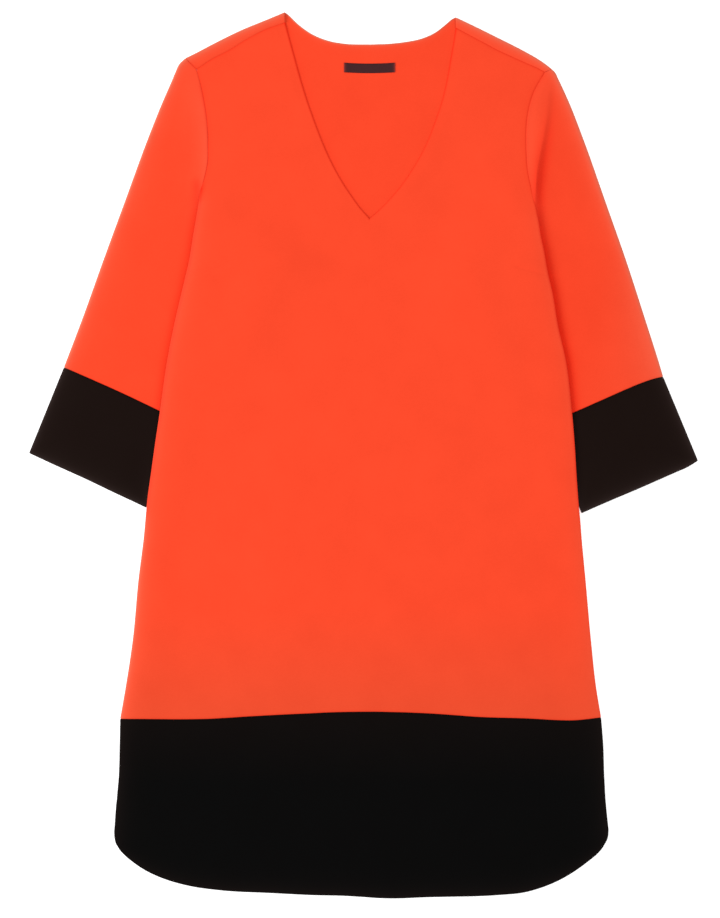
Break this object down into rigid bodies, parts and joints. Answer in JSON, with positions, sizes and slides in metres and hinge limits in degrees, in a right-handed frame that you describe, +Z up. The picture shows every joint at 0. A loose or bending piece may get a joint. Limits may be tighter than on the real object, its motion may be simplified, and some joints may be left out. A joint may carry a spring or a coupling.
{
  "type": "shift dress",
  "caption": "V-neck shift dress with three-quarter sleeves, black sleeve bands and a black shirt-tail hem band, laid flat with its front up.",
  "frame": {"origin": "on the surface that the dress lies on, below the middle of its bounding box", "axes": "+Y along the dress from hem to neck, +X to the right as seen from above, +Z up out of the dress's front"},
  "size_m": [0.733, 0.9709, 0.009],
  "materials": {
    "orange_crepe": "smooth matte orange-red crepe",
    "black_crepe": "smooth matte black crepe",
    "label_satin": "dark woven satin, no lettering"
  },
  "bodies": {
    "root": {"front_panel": "orange_crepe", "back_panel": "orange_crepe", "left_sleeve": "orange_crepe", "right_sleeve": "orange_crepe", "left_cuff": "black_crepe", "right_cuff": "black_crepe", "front_hem_band": "black_crepe", "back_hem_band": "black_crepe", "neck_label": "label_satin"}
  },
  "joints": []
}
